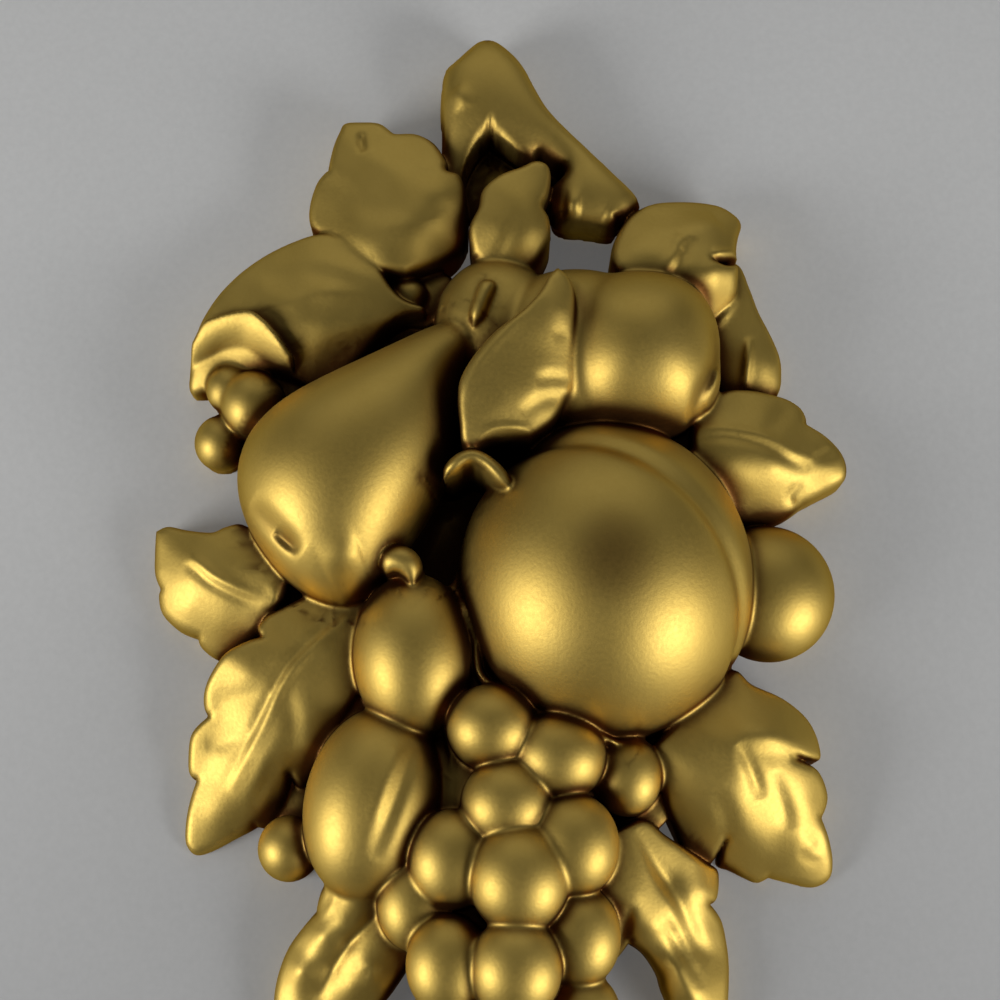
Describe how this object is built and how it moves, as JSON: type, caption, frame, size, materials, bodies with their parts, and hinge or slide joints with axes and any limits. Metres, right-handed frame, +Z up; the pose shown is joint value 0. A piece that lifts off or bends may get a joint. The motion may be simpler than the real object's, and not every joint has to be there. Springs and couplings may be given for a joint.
{
  "type": "decorative wall plaque",
  "caption": "Moulded gold wall plaque of a hanging fruit cluster: pear, peach, apple, plums, berries, grapes and leaves under a forked twig, with a flat back.",
  "frame": {"origin": "on the flat back, behind the middle of the plaque, where it meets the wall", "axes": "+Z up as it hangs, +X to the right seen from the front, the front faces -Y and the back faces +Y"},
  "size_m": [0.2202, 0.0618, 0.355],
  "materials": {
    "gold_paint": "satin metallic gold paint with red-brown shading in the creases"
  },
  "bodies": {
    "root": {"fruit_plaque": "gold_paint"}
  },
  "joints": []
}
